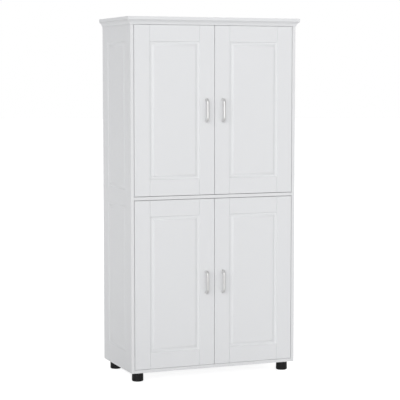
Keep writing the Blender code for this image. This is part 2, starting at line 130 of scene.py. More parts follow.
# Cup hinges
CUP_RADIUS = 0.0175
CUP_WALL = 0.0008
CUP_FLANGE = 0.0010
CUP_PIN_OFFSET = Vector((-0.0125, 0.0062, 0.0))
CUP_PIN_RADIUS = 0.0010
WING_OFFSET = 0.0055
WING_HALF_WIDTH = 0.007
WING_CORNER_RADIUS = 0.0045
WING_SCREW_REACH = 0.0240
CUP_EDGE_EASE = 0.0003
CUP_BOTTOM_EASE = 0.0015

# Screws on the hinge arms and plates: how far they stand off the side panel, how far they
# lie in front of the arm's rear end, and how far the plate's two lie above and below the arm
ARM_SCREW_STAND = 0.0122
ARM_SCREW_PLACES = (0.034, 0.012)
PLATE_SCREW_STAND = 0.0020
PLATE_SCREW_PLACE = 0.032
PLATE_SCREW_REACH = 0.0175

# Screw heads, as (radius, height)
HANDLE_SCREW = (0.0045, 0.0022)
WING_SCREW = (0.0036, 0.0014)
ARM_SCREW = (0.0034, 0.0016)
PLATE_SCREW = (0.0036, 0.0016)

# Studio. The floor's light rises to FLOOR_FAR_LIGHT over the FLOOR_FADE distances from the
# origin. Directions point towards the lights, and angles are the lights' widths in degrees.
FLOOR_RADIUS = 40.0
FLOOR_ALBEDO = 0.52
FLOOR_GLOW = 0.80
FLOOR_FAR_LIGHT = 0.38
FLOOR_FADE = (-3.0, 3.5)
ROOM_LIGHT = 0.50
KEY_DIRECTION = (-0.52, -0.845, 0.15)
KEY_STRENGTH = 1.95
KEY_ANGLE = 75
FILL_DIRECTION = (0.70, 0.55, 0.60)
FILL_STRENGTH = 1.1
FILL_ANGLE = 50
CARD_PLACE = (2.9, -7.0, 1.5)
CARD_SIZE = 2.6
CARD_LIGHT = 0.65

# Camera
CAMERA_PLACE = (-2.4835, -6.2228, 1.3657)
CAMERA_YAW_DEG = 21.778
CAMERA_PITCH_DEG = 4.864
CAMERA_LENS = 130.27


# Mesh helpers


def finished(bm, name):
    """The bmesh as a mesh whose faces all point out."""
    bmesh.ops.recalc_face_normals(bm, faces=bm.faces)
    mesh = bpy.data.meshes.new(name)
    bm.to_mesh(mesh)
    bm.free()
    return mesh


def eased_block(name, low, high, ease, segments=3):
    """A board between two corners, with its edges rounded."""
    low, high = Vector(low), Vector(high)
    bm = bmesh.new()
    place = Matrix.Translation((low + high) / 2) @ Matrix.Diagonal((*(high - low), 1.0))
    bmesh.ops.create_cube(bm, size=1.0, matrix=place)
    if ease:
        bmesh.ops.bevel(bm, geom=bm.edges[:], offset=ease, segments=segments, profile=0.5, affect="EDGES")
    return finished(bm, name)


def skin(name, sections, closed=False):
    """A skin over a run of loops with equal counts, capped at both ends unless the run is closed."""
    bm = bmesh.new()
    rings = [[bm.verts.new(point) for point in section] for section in sections]
    spans = list(zip(rings, rings[1:]))
    if closed:
        spans.append((rings[-1], rings[0]))
    else:
        bm.faces.new(rings[0])
        bm.faces.new(rings[-1][::-1])
    for first, second in spans:
        for i, vertex in enumerate(first):
            j = (i + 1) % len(first)
            bm.faces.new((vertex, first[j], second[j], second[i]))
    return finished(bm, name)


def turned(name, profile, axis, steps=48):
    """A turned solid. The profile is (radius, distance along the axis) from one end to the other."""
    axis = Vector(axis).normalized()
    across = axis.orthogonal().normalized()
    up = axis.cross(across)
    angles = [2 * math.pi * i / steps for i in range(steps)]
    sections = []
    for radius, distance in profile:
        ring = [across * math.cos(a) * radius + up * math.sin(a) * radius + axis * distance for a in angles]
        sections.append(ring)
    return skin(name, sections)


def quarter(centre, radii, start_deg, end_deg, steps):
    """Points on a round or elliptical stretch of a profile."""
    angles = (math.radians(start_deg + (end_deg - start_deg) * i / steps) for i in range(steps + 1))
    return [(centre[0] + radii[0] * math.cos(a), centre[1] + radii[1] * math.sin(a)) for a in angles]


def moved(mesh, place):
    """A copy of the mesh at that place."""
    copy = mesh.copy()
    copy.transform(place if isinstance(place, Matrix) else Matrix.Translation(place))
    return copy


def together(name, meshes):
    """Several closed bodies in one mesh."""
    bm = bmesh.new()
    for mesh in meshes:
        bm.from_mesh(mesh)
    return finished(bm, name)


def carved(name, start, steps):
    """The mesh left when (operation, tool) Booleans are applied in turn."""
    work = bpy.data.objects.new(name, start)
    bpy.context.scene.collection.objects.link(work)
    tools = []
    for operation, tool_mesh in steps:
        tool = bpy.data.objects.new(tool_mesh.name, tool_mesh)
        bpy.context.scene.collection.objects.link(tool)
        tools.append(tool)
        modifier = work.modifiers.new(operation.lower(), "BOOLEAN")
        modifier.operation = operation
        modifier.solver = "EXACT"
        modifier.object = tool
    bpy.context.view_layer.update()
    graph = bpy.context.evaluated_depsgraph_get()
    result = bpy.data.meshes.new_from_object(work.evaluated_get(graph))
    result.name = name
    for helper in (work, *tools):
        bpy.data.objects.remove(helper)
    return result


def add_piece(name, mesh, body, finishes, replaces=(), smooth_deg=SMOOTH_DEG):
    """A shown piece: shaded smooth up to an angle, riding on a body, with its finishes."""
    mesh.materials.clear()
    for finish in finishes:
        mesh.materials.append(finish)
    mesh.shade_smooth()
    mesh.set_sharp_from_angle(angle=math.radians(smooth_deg))
    piece = bpy.data.objects.new(name, mesh)
    bpy.context.scene.collection.objects.link(piece)
    even_shading(piece)
    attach(piece, body)
    if replaces:
        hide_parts(*replaces)
    return piece


def even_shading(obj):
    """Flat faces stay flat beside eased edges."""
    modifier = obj.modifiers.new("even_shading", "WEIGHTED_NORMAL")
    modifier.keep_sharp = True
    modifier.weight = 80


def tint_faces(mesh, index, test):
    """Gives faces whose centre and normal pass the test another of the piece's finishes."""
    for face in mesh.polygons:
        if test(face.center, face.normal):
            face.material_index = index


# Materials


class Finish:
    """A material with one Principled shader, and short ways to wire it."""

    def __init__(self, name, colour, roughness, metallic=0.0, **sockets):
        self.material = bpy.data.materials.new(name)
        self.material.use_nodes = True
        self.tree = self.material.node_tree
        self.shader = self.tree.nodes["Principled BSDF"]
        self.shader.inputs["Base Color"].default_value = (*colour, 1.0)
        self.shader.inputs["Roughness"].default_value = roughness
        self.shader.inputs["Metallic"].default_value = metallic
        for socket, value in sockets.items():
            self.shader.inputs[socket.replace("_", " ")].default_value = value
        self.colour = colour
        self.places = {}

    def link(self, source, target):
        """Wires an output socket to an input socket."""
        self.tree.links.new(source, target)

    def node(self, kind, settings=None, **inputs):
        """A new node with its settings, and its input sockets named with _ for a space."""
        made = self.tree.nodes.new(kind)
        for key, value in (settings or {}).items():
            setattr(made, key, value)
        for socket, value in inputs.items():
            made.inputs[socket.replace("_", " ")].default_value = value
        return made

    def place(self, stretch=(1.0, 1.0, 1.0)):
        """Object coordinates, scaled along each axis."""
        if stretch not in self.places:
            coordinates = self.node("ShaderNodeTexCoord")
            mapping = self.node("ShaderNodeMapping", Scale=stretch)
            self.link(coordinates.outputs["Object"], mapping.inputs["Vector"])
            self.places[stretch] = mapping.outputs["Vector"]
        return self.places[stretch]

    def noise(self, scale, detail=2.0, roughness=0.5, stretch=(1.0, 1.0, 1.0)):
        """Noise over the object's own coordinates, as a value of about 0.3 to 0.7."""
        made = self.node("ShaderNodeTexNoise", Scale=scale, Detail=detail, Roughness=roughness)
        self.link(self.place(stretch), made.inputs["Vector"])
        return made.outputs["Fac"]

    def spread(self, value, low, high, start=0.3, end=0.7):
        """The value's middle stretch, remapped to run from low to high."""
        made = self.node("ShaderNodeMapRange")
        for socket, number in zip(("From Min", "From Max", "To Min", "To Max"), (start, end, low, high)):
            made.inputs[socket].default_value = number
        self.link(value, made.inputs["Value"])
        return made.outputs["Result"]

    def blend(self, factor, first, second):
        """Mixes two colours, each a colour or a socket."""
        made = self.node("ShaderNodeMix", {"data_type": "RGBA"})
        self.link(factor, made.inputs["Factor"])
        colour_inputs = [socket for socket in made.inputs if socket.type == "RGBA"]
        for socket, value in zip(colour_inputs, (first, second)):
            if isinstance(value, bpy.types.NodeSocket):
                self.link(value, socket)
            else:
                socket.default_value = (*value, 1.0)
        return next(socket for socket in made.outputs if socket.type == "RGBA")

    def shade(self, amount):
        """The base colour, lighter or darker by that share."""
        return tuple(channel * (1 + amount) for channel in self.colour)

    def set_colour(self, colour):
        """Wires a colour into the shader."""
        self.link(colour, self.shader.inputs["Base Color"])

    def set_roughness(self, value):
        """Wires a roughness into the shader."""
        self.link(value, self.shader.inputs["Roughness"])

    def add_bump(self, height, strength, distance):
        """Adds a bump over any that is there already."""
        made = self.node("ShaderNodeBump", Strength=strength, Distance=distance)
        self.link(height, made.inputs["Height"])
        normal = self.shader.inputs["Normal"]
        if normal.is_linked:
            self.link(normal.links[0].from_socket, made.inputs["Normal"])
        self.link(made.outputs["Normal"], normal)


def sprayed_paint():
    """Satin white spray paint on board: faint clouding, orange peel and uneven gloss."""
    finish = Finish("white_paint", (0.766, 0.771, 0.782), 0.40, Specular_IOR_Level=0.45)
    cloud = finish.spread(finish.noise(1.6, 2.0), 0.0, 1.0)
    fleck = finish.spread(finish.noise(320.0, 3.0, 0.6), 0.0, 0.5)
    base = finish.blend(cloud, finish.shade(-0.005), finish.shade(0.005))
    finish.set_colour(finish.blend(fleck, base, finish.shade(0.012)))
    finish.set_roughness(finish.spread(finish.noise(9.0, 3.0), 0.37, 0.44))
    finish.add_bump(finish.noise(520.0, 2.0, 0.45), 0.08, 0.00030)
    return finish.material


def edge_band():
    """White banding on the boards' cut edges, with its faint lengthwise drag lines."""
    finish = Finish("edge_band", (0.768, 0.772, 0.780), 0.46, Specular_IOR_Level=0.40)
    drag = finish.noise(60.0, 4.0, 0.6, stretch=(6.0, 6.0, 0.25))
    finish.set_colour(finish.blend(finish.spread(drag, 0.0, 1.0), finish.shade(-0.015), finish.shade(0.015)))
    finish.set_roughness(finish.spread(finish.noise(25.0, 3.0), 0.40, 0.52))
    finish.add_bump(drag, 0.12, 0.0002)
    return finish.material


def melamine():
    """White melamine on the loose shelves, with its fine pressed grain."""
    finish = Finish("white_melamine", (0.745, 0.750, 0.762), 0.48, Specular_IOR_Level=0.45)
    grain = finish.noise(160.0, 5.0, 0.65, stretch=(0.12, 1.0, 1.0))
    cloud = finish.spread(finish.noise(5.0, 3.0), 0.0, 1.0)
    base = finish.blend(cloud, finish.shade(-0.014), finish.shade(0.012))
    finish.set_colour(finish.blend(finish.spread(grain, 0.0, 0.6), base, finish.shade(-0.02)))
    finish.set_roughness(finish.spread(grain, 0.42, 0.56))
    finish.add_bump(grain, 0.18, 0.00025)
    return finish.material


def white_foil():
    """The hardboard's white inner face."""
    finish = Finish("white_foil", (0.725, 0.730, 0.735), 0.52, Specular_IOR_Level=0.40)
    cloud = finish.spread(finish.noise(4.0, 4.0), 0.0, 1.0)
    finish.set_colour(finish.blend(cloud, finish.shade(-0.02), finish.shade(0.015)))
    finish.set_roughness(finish.spread(finish.noise(40.0, 3.0), 0.47, 0.60))
    finish.add_bump(finish.noise(220.0, 4.0, 0.6), 0.16, 0.00025)
    return finish.material


def bare_hardboard():
    """The hardboard's brown rear face: pressed fibres over a fine wire-screen print."""
    finish = Finish("bare_hardboard", (0.330, 0.205, 0.115), 0.72, Specular_IOR_Level=0.30)
    fibres = finish.noise(140.0, 8.0, 0.7, stretch=(0.35, 1.0, 1.0))
    stain = finish.spread(finish.noise(3.5, 5.0, 0.6), 0.0, 1.0)
    dark = tuple(channel * 0.72 for channel in finish.colour)
    light = (0.420, 0.280, 0.165)
    base = finish.blend(stain, finish.colour, finish.shade(0.16))
    base = finish.blend(finish.spread(fibres, 0.0, 0.7, 0.35, 0.75), base, dark)
    specks = finish.spread(finish.noise(320.0, 3.0, 0.7), 0.0, 0.7, 0.56, 0.70)
    finish.set_colour(finish.blend(specks, base, light))
    finish.set_roughness(finish.spread(fibres, 0.62, 0.85))
    screen = finish.node("ShaderNodeTexVoronoi", {"distance": "MANHATTAN"}, Scale=620.0, Randomness=0.15)
    finish.link(finish.place(), screen.inputs["Vector"])
    finish.add_bump(screen.outputs["Distance"], 0.25, 0.0003)
    finish.add_bump(fibres, 0.35, 0.0004)
    return finish.material


def satin_nickel():
    """Brushed nickel plate, its fine lines running along the handle."""
    finish = Finish("satin_nickel", (0.750, 0.747, 0.738), 0.35, 1.0)
    lines = finish.noise(900.0, 4.0, 0.6, stretch=(1.0, 1.0, 0.03))
    cloud = finish.spread(finish.noise(35.0, 3.0), 0.0, 1.0)
    base = finish.blend(cloud, finish.shade(-0.04), finish.shade(0.04))
    finish.set_colour(finish.blend(finish.spread(lines, 0.0, 0.5), base, finish.shade(-0.10)))
    finish.set_roughness(finish.spread(lines, 0.29, 0.41))
    finish.add_bump(lines, 0.14, 0.00008)
    return finish.material


def hinge_steel():
    """Nickel-plated pressed steel, lightly pitted and cloudy."""
    finish = Finish("hinge_steel", (0.640, 0.625, 0.600), 0.26, 1.0)
    pits = finish.noise(700.0, 4.0, 0.65)
    cloud = finish.spread(finish.noise(55.0, 4.0), 0.0, 1.0)
    base = finish.blend(cloud, finish.shade(-0.07), finish.shade(0.05))
    finish.set_colour(finish.blend(finish.spread(pits, 0.0, 0.5, 0.5, 0.8), base, finish.shade(-0.12)))
    finish.set_roughness(finish.spread(finish.noise(120.0, 4.0), 0.19, 0.36))
    finish.add_bump(pits, 0.05, 0.00006)
    return finish.material


def moulded_plastic(name, colour, roughness, shine):
    """Moulded plastic with a spark-eroded texture and slight mould flow marks."""
    finish = Finish(name, colour, roughness, Specular_IOR_Level=shine)
    texture = finish.noise(850.0, 3.0, 0.6)
    flow = finish.spread(finish.noise(28.0, 3.0, stretch=(1.0, 1.0, 0.4)), 0.0, 1.0)
    finish.set_colour(finish.blend(flow, finish.shade(-0.12), finish.shade(0.15)))
    finish.set_roughness(finish.spread(texture, roughness - 0.07, roughness + 0.10))
    finish.add_bump(texture, 0.22, 0.00012)
    return finish.material


# Fields, mouldings and joint lines


def moulding_profile():
    """The routed moulding's section, as (inset from its outer edge, depth): quirk, cove and ogee bevel."""
    full_depth = QUIRK + COVE_DEPTH
    start = MOULDING_DRAFT + COVE_WIDTH
    points = [(0.0, -GROOVE_LIFT), (0.0, 0.0), (MOULDING_DRAFT, QUIRK)]
    points += quarter((start, QUIRK), (COVE_WIDTH, COVE_DEPTH), 180, 90, 8)[1:]
    steps = 10
    for i in range(1, steps + 1):
        share = i / steps
        eased = (1 - math.cos(math.pi * share)) / 2
        rise = (full_depth - FIELD_STEP) * (share * (1 - OGEE) + eased * OGEE)
        points.append((start + BEVEL_WIDTH * share, full_depth - rise))
    end = start + BEVEL_WIDTH + MOULDING_DRAFT
    points += [(end, 0.0), (end, -GROOVE_LIFT)]
    return points


def moulding_cutter(centre, half_width, half_height, across, outward, depth_scale):
    """A closed ring that cuts the moulding round a field, mitred at its corners."""
    corners = ((-1, -1), (1, -1), (1, 1), (-1, 1))
    centre, across, outward = Vector(centre), Vector(across), Vector(outward)
    sections = []
    for inset, depth in moulding_profile():
        section = []
        for side, end in corners:
            place = centre - outward * depth * depth_scale + across * side * (half_width - inset)
            section.append(place + Vector((0, 0, end * (half_height - inset))))
        sections.append(section)
    return skin("moulding", sections, closed=True)


def joint_line_cutter(start, end, across, outward, depth_scale):
    """A V-shaped cutter along the line from start to end, on the face that outward points from.

    It reaches as far above the face as below it, so it is JOINT_LINE_WIDTH wide at the face."""
    spread = Vector(across) * depth_scale * JOINT_LINE_WIDTH
    rise = Vector(outward) * depth_scale * JOINT_LINE_DEPTH
    section = [spread + rise, rise - spread, -rise]
    return skin("joint_line", [[Vector(place) + corner for corner in section] for place in (start, end)])


def field_cutters(centre, half_width, half_height, across, outward, line_ends, depth_scale=1.0):
    """Boolean steps for one field's moulding, and for joint lines from its corners to line_ends."""
    cutters = [moulding_cutter(centre, half_width, half_height, across, outward, depth_scale)]
    for side in (-1, 1):
        edge = Vector(centre) + Vector(across) * side * (half_width - JOINT_LINE_WIDTH / 2)
        for end, far in zip((-1, 1), line_ends):
            near_place = edge + Vector((0, 0, end * (half_height - LINE_OVERLAP)))
            far_place = Vector((edge.x, edge.y, far))
            cutters.append(joint_line_cutter(near_place, far_place, across, outward, depth_scale))
    return [("DIFFERENCE", cutter) for cutter in cutters]


# Carcass


def side_field_steps(side):
    """The Boolean steps for the mouldings and joint lines of a side panel's two fields."""
    sign = SIDES[side]
    low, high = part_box(f"side_panel_{side}")
    outer = low.x if sign < 0 else high.x
    centre_y = (low.y + high.y) / 2
    half_width = (high.y - low.y) / 2 - SIDE_STILE
    shelf_low, shelf_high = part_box("middle_shelf")
    seam = (shelf_low.z + shelf_high.z) / 2
    rail = SIDE_MIDDLE_RAIL / 2
    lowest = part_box("door_lower_left")[0].z + RAIL
    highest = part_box("door_upper_left")[1].z - RAIL
    steps = []
    for bottom, top, line_ends in (
        (lowest, seam - rail, (low.z - CUTTER_REACH, seam)),
        (seam + rail, highest, (seam, high.z + CUTTER_REACH)),
    ):
        centre = (outer, centre_y, (bottom + top) / 2)
        half_height = (top - bottom) / 2
        steps += field_cutters(
            centre, half_width, half_height, (0, 1, 0), (sign, 0, 0), line_ends, SIDE_MOULDING_DEPTH
        )
    return steps


def rebate_cutter(side):
    """A block that cuts the rebate for the back along a side panel's rear edge."""
    sign = SIDES[side]
    low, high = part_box(f"side_panel_{side}")
    inner = high.x if sign < 0 else low.x
    edges_x = sorted((inner - sign * CUTTER_REACH, inner + sign * REBATE_WIDTH))
    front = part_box("back_panel_lower")[0].y - FIT
    first = (edges_x[0], front, low.z - CUTTER_REACH)
    last = (edges_x[1], high.y + CUTTER_REACH, high.z + CUTTER_REACH)
    return eased_block("rebate", first, last, 0)


def pin_holes_cutter(side):
    """The shelf-pin holes of one side panel, in columns centred on the pins."""
    sign = SIDES[side]
    low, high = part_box(f"side_panel_{side}")
    inner = high.x if sign < 0 else low.x
    profile = [(PIN_HOLE_RADIUS, -CUTTER_REACH), (PIN_HOLE_RADIUS, PIN_HOLE_DEPTH)]
    holes = []
    for level in LEVELS:
        for row in ROWS:
            pin_low, pin_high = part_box(f"shelf_pin_{level}_{side}_{row}")
            centre = (pin_low + pin_high) / 2
            for step in PIN_STEPS:
                hole = turned("pin_hole", profile, (sign, 0, 0), steps=20)
                holes.append(moved(hole, (inner, centre.y, centre.z + step * PIN_SPACING)))
    return together("pin_holes", holes)


def make_side_panel(side):
    """A side panel with two raised fields outside, a rebate and pin holes inside, and a banded front."""
    name = f"side_panel_{side}"
    low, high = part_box(name)
    steps = side_field_steps(side)
    steps.append(("DIFFERENCE", rebate_cutter(side)))
    steps.append(("DIFFERENCE", pin_holes_cutter(side)))
    mesh = carved(name, eased_block(name, low, high, BOARD_EASE), steps)
    add_piece(name, mesh, "cabinet", (PAINT, BANDING), (name,))
    tint_faces(mesh, 1, lambda centre, normal: normal.y < -0.9 and centre.y < low.y + 0.0001)


def make_boards():
    """The boards across the cabinet, with banded front edges."""
    for name, finish, slot in (
        ("bottom_panel", PAINT, "white_paint"),
        ("middle_shelf", PAINT, "white_paint"),
        ("shelf_lower", MELAMINE, "white_melamine"),
        ("shelf_upper", MELAMINE, "white_melamine"),
    ):
        low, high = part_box(name)
        mesh = eased_block(name, low, high, SHELF_EASE)
        add_piece(name, mesh, "cabinet", (finish, BANDING), (name,))
        tint_faces(mesh, 1, lambda centre, normal: normal.y < -0.9)
    for name, ease in (("top_board", TOP_EASE), ("top_rail", SHELF_EASE)):
        mesh = eased_block(name, *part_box(name), ease, segments=5)
        add_piece(name, mesh, "cabinet", (PAINT,), (name,))


def back_nail_places(level):
    """Nails up both sides of a back sheet, along its joint, and along the cabinet's lower edge."""
    low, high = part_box(f"back_panel_{level}")
    height = high.z - low.z
    width = high.x - low.x
    places = []
    rows = round(height / NAIL_SPACING)
    for i in range(rows + 1):
        z = low.z + NAIL_FROM_EDGE + (height - 2 * NAIL_FROM_EDGE) * i / rows
        places += [(x, high.y, z) for x in (low.x + NAIL_FROM_EDGE, high.x - NAIL_FROM_EDGE)]
    columns = round(width / NAIL_SPACING)
    if level == "upper":
        heights = (low.z + NAIL_FROM_EDGE,)
    else:
        heights = (high.z - NAIL_FROM_EDGE, low.z + 2 * NAIL_FROM_EDGE)
    for z in heights:
        places += [(low.x + width * i / columns, high.y, z) for i in range(1, columns)]
    return places


def make_back():
    """Two hardboard sheets, white inside and bare outside, nailed to the panels' rear edges."""
    profile = [(NAIL_RADIUS, -NAIL_SEAT), (NAIL_RADIUS, NAIL_HEIGHT * 0.5), (NAIL_RADIUS * 0.6, NAIL_HEIGHT)]
    nail = turned("nail", profile, (0, 1, 0), steps=12)
    for level in LEVELS:
        name = f"back_panel_{level}"
        mesh = eased_block(name, *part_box(name), BACK_EASE, segments=2)
        add_piece(name, mesh, "cabinet", (FOIL, HARDBOARD), (name,))
        tint_faces(mesh, 1, lambda centre, normal: normal.y > -0.5)
        mesh = together("back_nails", [moved(nail, place) for place in back_nail_places(level)])
        add_piece(f"back_nails_{level}", mesh, "cabinet", (STEEL,))


def cove_section():
    """The crown moulding's section, as (distance out from the carcass, height above its foot)."""
    low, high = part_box("cove_front")
    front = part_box("side_panel_left")[0].y
    reach = front - low.y
    height = high.z - low.z
    slope = Vector((reach - CROWN_LIP, height - 2 * CROWN_FILLET))
    inward = Vector((-slope.y, slope.x)).normalized()
    steps = 16
    hollow = []
    for i in range(steps + 1):
        share = i / steps
        point = Vector((CROWN_LIP, CROWN_FILLET)) + slope * share
        point += inward * CROWN_HOLLOW * math.sin(math.pi * share)
        hollow.append((point.x, point.y))
    return [(FIT, 0.0), (CROWN_LIP, 0.0), *hollow, (reach, height), (FIT, height)]


def make_coves():
    """Three cove mouldings under the top board, mitred at the front corners."""
    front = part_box("side_panel_left")[0].y
    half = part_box("side_panel_right")[1].x
    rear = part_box("cove_left")[1].y
    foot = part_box("cove_front")[0].z
    section = cove_section()
    ends = []
    for sign in (-1, 1):
        ends.append([Vector((sign * (half + out - MITRE_GAP), front - out, foot + z)) for out, z in section])
    meshes = {"cove_front": skin("cove_front", ends)}
    for side, sign in SIDES.items():
        name = f"cove_{side}"
        start = [Vector((sign * (half + out), front - out + MITRE_GAP, foot + z)) for out, z in section]
        end = [Vector((sign * (half + out), rear, foot + z)) for out, z in section]
        meshes[name] = skin(name, [start, end])
    for name, mesh in meshes.items():
        add_piece(name, mesh, "cabinet", (PAINT,), (name,), CROWN_SMOOTH_DEG)


def foot_profile(radius, height):
    """A foot's profile, from the dimple in its sole up to its flat top."""
    round_to, line = FOOT_TREAD_RADIUS, FOOT_LINE
    flat = radius - round_to
    rim_start = height - FOOT_RIM_HEIGHT
    profile = [(radius * 0.30, FOOT_DIMPLE_DEPTH), (radius * 0.34, FOOT_SOLE_LIFT)]
    profile += [(flat - 0.0025, FOOT_SOLE_LIFT), (flat - 0.0015, 0.0)]
    profile += quarter((flat - FOOT_TAPER / 2, round_to), (round_to, round_to), -90, 0, 9)
    profile += [(radius - FOOT_TAPER, rim_start - line)]
    profile += quarter((radius - 2 * line, rim_start + line), (2 * line, 2 * line), -90, 0, 4)
    profile += quarter((radius - line, height - line), (line, line), 0, 90, 4)
    return [*profile, (radius * 0.5, height)]


def make_feet():
    """Round moulded feet: a mounting rim, a slightly tapered wall and a rounded tread."""
    for row in ROWS:
        for side in SIDES:
            name = f"foot_{row}_{side}"
            low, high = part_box(name)
            foot = turned(name, foot_profile((high.x - low.x) / 2, high.z - low.z), (0, 0, 1), steps=72)
            mesh = moved(foot, ((low.x + high.x) / 2, (low.y + high.y) / 2, low.z))
            add_piece(name, mesh, "cabinet", (BLACK,), (name,))


def pin_profile(deep, out):
    """A shelf pin's profile, from its shank's end in the panel to its peg's end under the shelf."""
    shank, collar, peg, ease = PIN_SHANK_RADIUS, PIN_COLLAR_RADIUS, PIN_PEG_RADIUS, PIN_EASE
    profile = [(shank - ease, -deep), (shank, -deep + ease), (shank, PIN_COLLAR_START - 0.0001)]
    profile += [(collar - ease, PIN_COLLAR_START), (collar, PIN_COLLAR_START + ease)]
    profile += [(collar, PIN_COLLAR_END - ease), (collar - ease, PIN_COLLAR_END), (peg, PIN_COLLAR_END)]
    return profile + quarter((peg - ease, out - ease), (ease, ease), 0, 90, 4)


def make_shelf_pins():
    """Plated shelf pins: shank, collar and rounded peg."""
    for level in LEVELS:
        for side, sign in SIDES.items():
            panel_low, panel_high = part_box(f"side_panel_{side}")
            face = panel_low.x if sign > 0 else panel_high.x
            for row in ROWS:
                name = f"shelf_pin_{level}_{side}_{row}"
                low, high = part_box(name)
                centre = (low + high) / 2
                deep, out = (high.x - face, face - low.x) if sign > 0 else (face - low.x, high.x - face)
                pin = turned(name, pin_profile(deep, out), (-sign, 0, 0), steps=24)
                mesh = moved(pin, (face, centre.y, centre.z))
                add_piece(name, mesh, "cabinet", (STEEL,), (name,))


def make_cam_covers():
    """Plastic covers over the cam fittings that hold the boards to the side panels."""
    radius, height = CAM_COVER_RADIUS, CAM_COVER_HEIGHT
    profile = [(radius, 0.0), (radius, height * 0.3), (radius * 0.93, height * 0.75), (radius * 0.6, height)]
    inner_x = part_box("side_panel_right")[0].x
    low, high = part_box("bottom_panel")
    rows = (low.y + CAM_FROM_EDGE, high.y - CAM_FROM_EDGE)
    for board in ("bottom_panel", "middle_shelf"):
        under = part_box(board)[0].z
        disc = turned("cam_cover", profile, (0, 0, -1), steps=36)
        places = [(x, y, under) for x in (CAM_FROM_END - inner_x, inner_x - CAM_FROM_END) for y in rows]
        mesh = together("cam_covers", [moved(disc, place) for place in places])
        add_piece(f"cam_covers_{board}", mesh, "cabinet", (COVER,))
    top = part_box("top_board")[0].z
    for side, sign in SIDES.items():
        disc = turned("cam_cover", profile, (-sign, 0, 0), steps=36)
        mesh = together("cam_covers", [moved(disc, (sign * inner_x, y, top - CAM_FROM_END)) for y in rows])
        add_piece(f"cam_covers_top_{side}", mesh, "cabinet", (COVER,))


# Screws


def screw_head(name, size, axis):
    """A domed screw head with a cross recess, its underside at the origin."""
    radius, height = size
    profile = [(radius, 0.0), *quarter((radius * 0.45, 0.0), (radius * 0.55, height), 0, 90, 6)]
    head = turned(name, profile, (0, 0, 1), steps=32)
    arm, half = radius * 0.58, radius * 0.13
    outline = [(arm, half), (half, half), (half, arm), (-half, arm), (-half, half), (-arm, half)]
    outline += [(-x, -y) for x, y in outline]
    sections = []
    for z, taper in ((height * 0.25, 0.55), (height * 1.2, 1.05)):
        sections.append([Vector((x * taper, y * taper, z)) for x, y in outline])
    mesh = carved(name, head, [("DIFFERENCE", skin("recess", sections))])
    mesh.transform(Vector(axis).to_track_quat("Z", "Y").to_matrix().to_4x4())
    return mesh


# Doors


def door_mesh():
    """A left-hand door with field, joint lines and hinge bores.

    Its hinge edge's front line, at mid-height, is the origin."""
    low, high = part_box("door_upper_left")
    width, thickness, height = high - low
    half = height / 2
    board = eased_block("door", (0, 0, -half), (width, thickness, half), BOARD_EASE, segments=4)
    steps = field_cutters(
        (width / 2, 0, 0),
        width / 2 - DOOR_STILE,
        half - RAIL,
        (1, 0, 0),
        (0, -1, 0),
        (-half - CUTTER_REACH, half + CUTTER_REACH),
    )
    for end in ENDS:
        cup_low, cup_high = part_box(f"hinge_cup_upper_left_{end}")
        centre = (cup_low + cup_high) / 2
        start = cup_low.y - low.y - FIT
        radius = CUP_RADIUS + FIT
        profile = [(radius, start), (radius, thickness + CUTTER_REACH)]
        bore = turned("cup_bore", profile, (0, 1, 0), steps=64)
        place = (centre.x - low.x, 0, centre.z - (low.z + high.z) / 2)
        steps.append(("DIFFERENCE", moved(bore, place)))
    return carved("door", board, steps)


def door_place(level, side):
    """Where the left-hand door's frame goes for this door; a right-hand one is turned over."""
    low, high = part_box(f"door_{level}_{side}")
    hinge_x = low.x if side == "left" else high.x
    place = Matrix.Translation((hinge_x, low.y, (low.z + high.z) / 2))
    return place if side == "left" else place @ Matrix.Rotation(math.pi, 4, "Y")


def handle_mesh(name):
    """A bow handle: a bar with a rounded front swept along its feet, wide bends and grip."""
    low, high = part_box(name)
    width = high.x - low.x
    depth = HANDLE_BAR_DEPTH
    half = (high.z - low.z) / 2
    middle = (low + high) / 2
    radius = HANDLE_BEND_RADIUS - depth / 2
    bend_centre = Vector((0, HANDLE_BEND_RADIUS - (high.y - low.y), half - HANDLE_BEND_RADIUS))

    path = [(Vector((0, 0, half - depth / 2)), Vector((0, 0, 1)))]
    steps = 18
    for i in range(steps + 1):
        angle = math.radians(90 * i / steps)
        out = Vector((0, -math.sin(angle), math.cos(angle)))
        path.append((bend_centre + out * radius, out))
    turned_over = Vector((1, 1, -1))
    path += [(place * turned_over, out * turned_over) for place, out in reversed(path)]

    outline = []
    for u, v, start in QUADRANTS:
        edge = HANDLE_FRONT_EDGE if u > 0 else HANDLE_BACK_EDGE
        centre = (u * (depth / 2 - edge[0]), v * (width / 2 - edge[1]))
        outline += quarter(centre, edge, start, start + 90, 6)
    origin = Vector((middle.x, high.y, middle.z))
    sections = []
    for place, out in path:
        sections.append([origin + place + out * u + Vector((v, 0, 0)) for u, v in outline])
    return skin(name, sections)


def make_doors():
    """The four doors, each with its handle and the two screws that hold it from behind."""
    blank = door_mesh()
    screw = screw_head("handle_screw", HANDLE_SCREW, (0, 1, 0))
    foot_inset = HANDLE_BAR_DEPTH / 2
    for level in LEVELS:
        for side in SIDES:
            door = f"door_{level}_{side}"
            add_piece(door, moved(blank, door_place(level, side)), door, (PAINT,), (door,))
            handle = f"handle_{level}_{side}"
            add_piece(handle, handle_mesh(handle), door, (NICKEL,), (handle,))
            low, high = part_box(handle)
            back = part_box(door)[1].y
            places = [((low.x + high.x) / 2, back, z) for z in (low.z + foot_inset, high.z - foot_inset)]
            mesh = together("handle_screws", [moved(screw, place) for place in places])
            add_piece(f"handle_screws_{level}_{side}", mesh, door, (STEEL,))


# Hinges


